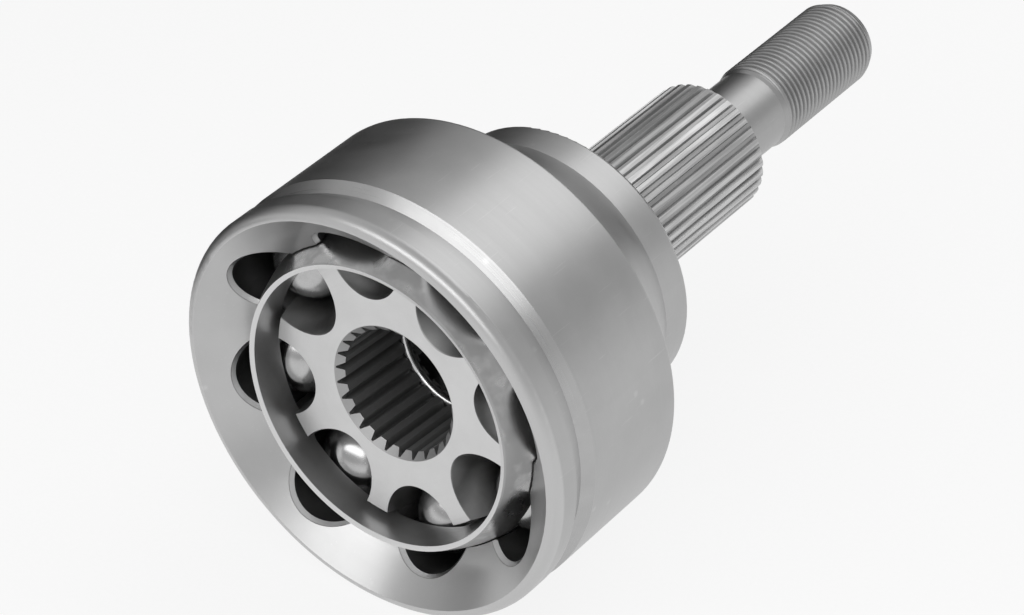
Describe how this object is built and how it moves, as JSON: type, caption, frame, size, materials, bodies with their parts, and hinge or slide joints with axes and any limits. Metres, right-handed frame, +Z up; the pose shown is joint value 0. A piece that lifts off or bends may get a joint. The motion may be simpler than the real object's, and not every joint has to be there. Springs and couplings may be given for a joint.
{
  "type": "constant velocity joint",
  "caption": "Fixed ball-type drive shaft joint: bell-shaped outer race with splined, threaded stub, windowed cage, inner race with splined bore, and 8 balls in alternating tracks.",
  "frame": {"origin": "centre that the joint bends about: on the shaft axis, where the axes of the drive shaft and the stub cross", "axes": "+Y along the outer race's axis from the open mouth to the threaded stub, +Z up, +X to the right seen from the mouth"},
  "size_m": [0.0928, 0.1716, 0.0928],
  "materials": {
    "outer_race_steel": "fine turned, satin",
    "cage_steel": "ground, satin",
    "inner_race_steel": "machined, satin",
    "ball_steel": "polished bearing steel",
    "spring_steel": "drawn wire"
  },
  "bodies": {
    "outer_race": {"outer_race": "outer_race_steel"},
    "cage": {"cage": "cage_steel"},
    "inner_race": {"inner_race": "inner_race_steel", "circlip": "spring_steel"},
    "ball_1": {"ball_1": "ball_steel"},
    "ball_2": {"ball_2": "ball_steel"},
    "ball_3": {"ball_3": "ball_steel"},
    "ball_4": {"ball_4": "ball_steel"},
    "ball_5": {"ball_5": "ball_steel"},
    "ball_6": {"ball_6": "ball_steel"},
    "ball_7": {"ball_7": "ball_steel"},
    "ball_8": {"ball_8": "ball_steel"}
  },
  "joints": [
    {"name": "inner_race_tilt", "type": "hinge", "parent": "outer_race", "child": "inner_race", "pos_m": [0, 0, 0], "axis": [1, 0, 0], "range_deg": [-40.7, 49.3]},
    {"name": "cage_tilt", "type": "hinge", "parent": "outer_race", "child": "cage", "pos_m": [0, 0, 0], "axis": [1, 0, 0], "range_deg": [-20.85, 25.15]},
    {"name": "ball_1_track", "type": "hinge", "parent": "outer_race", "child": "ball_1", "pos_m": [0, 0.0024, 0], "axis": [-0.2756, 0, 0.9613], "range_deg": [-7.56, 6.33]},
    {"name": "ball_2_track", "type": "hinge", "parent": "outer_race", "child": "ball_2", "pos_m": [0, -0.0024, 0], "axis": [-0.8746, 0, 0.4848], "range_deg": [-22.32, 18.51]},
    {"name": "ball_3_track", "type": "hinge", "parent": "outer_race", "child": "ball_3", "pos_m": [0, 0.0024, 0], "axis": [-0.9613, 0, -0.2756], "range_deg": [-24.29, 20.14]},
    {"name": "ball_4_track", "type": "hinge", "parent": "outer_race", "child": "ball_4", "pos_m": [0, -0.0024, 0], "axis": [-0.4848, 0, -0.8746], "range_deg": [-12.84, 10.69]},
    {"name": "ball_5_track", "type": "hinge", "parent": "outer_race", "child": "ball_5", "pos_m": [0, 0.0024, 0], "axis": [0.2756, 0, -0.9613], "range_deg": [-6.31, 7.54]},
    {"name": "ball_6_track", "type": "hinge", "parent": "outer_race", "child": "ball_6", "pos_m": [0, -0.0024, 0], "axis": [0.8746, 0, -0.4848], "range_deg": [-18.51, 22.32]},
    {"name": "ball_7_track", "type": "hinge", "parent": "outer_race", "child": "ball_7", "pos_m": [0, 0.0024, 0], "axis": [0.9613, 0, 0.2756], "range_deg": [-20.14, 24.29]},
    {"name": "ball_8_track", "type": "hinge", "parent": "outer_race", "child": "ball_8", "pos_m": [0, -0.0024, 0], "axis": [0.4848, 0, 0.8746], "range_deg": [-10.7, 12.86]}
  ],
  "couplings": [
    {"joint": "cage_tilt", "follows": "inner_race_tilt", "ratio": 0.5},
    {"joint": "ball_1_track", "follows": "inner_race_tilt", "ratio": -0.14328},
    {"joint": "ball_2_track", "follows": "inner_race_tilt", "ratio": -0.44254},
    {"joint": "ball_3_track", "follows": "inner_race_tilt", "ratio": -0.48246},
    {"joint": "ball_4_track", "follows": "inner_race_tilt", "ratio": -0.25031},
    {"joint": "ball_5_track", "follows": "inner_race_tilt", "ratio": 0.14284},
    {"joint": "ball_6_track", "follows": "inner_race_tilt", "ratio": 0.44254},
    {"joint": "ball_7_track", "follows": "inner_race_tilt", "ratio": 0.48246},
    {"joint": "ball_8_track", "follows": "inner_race_tilt", "ratio": 0.25067}
  ]
}
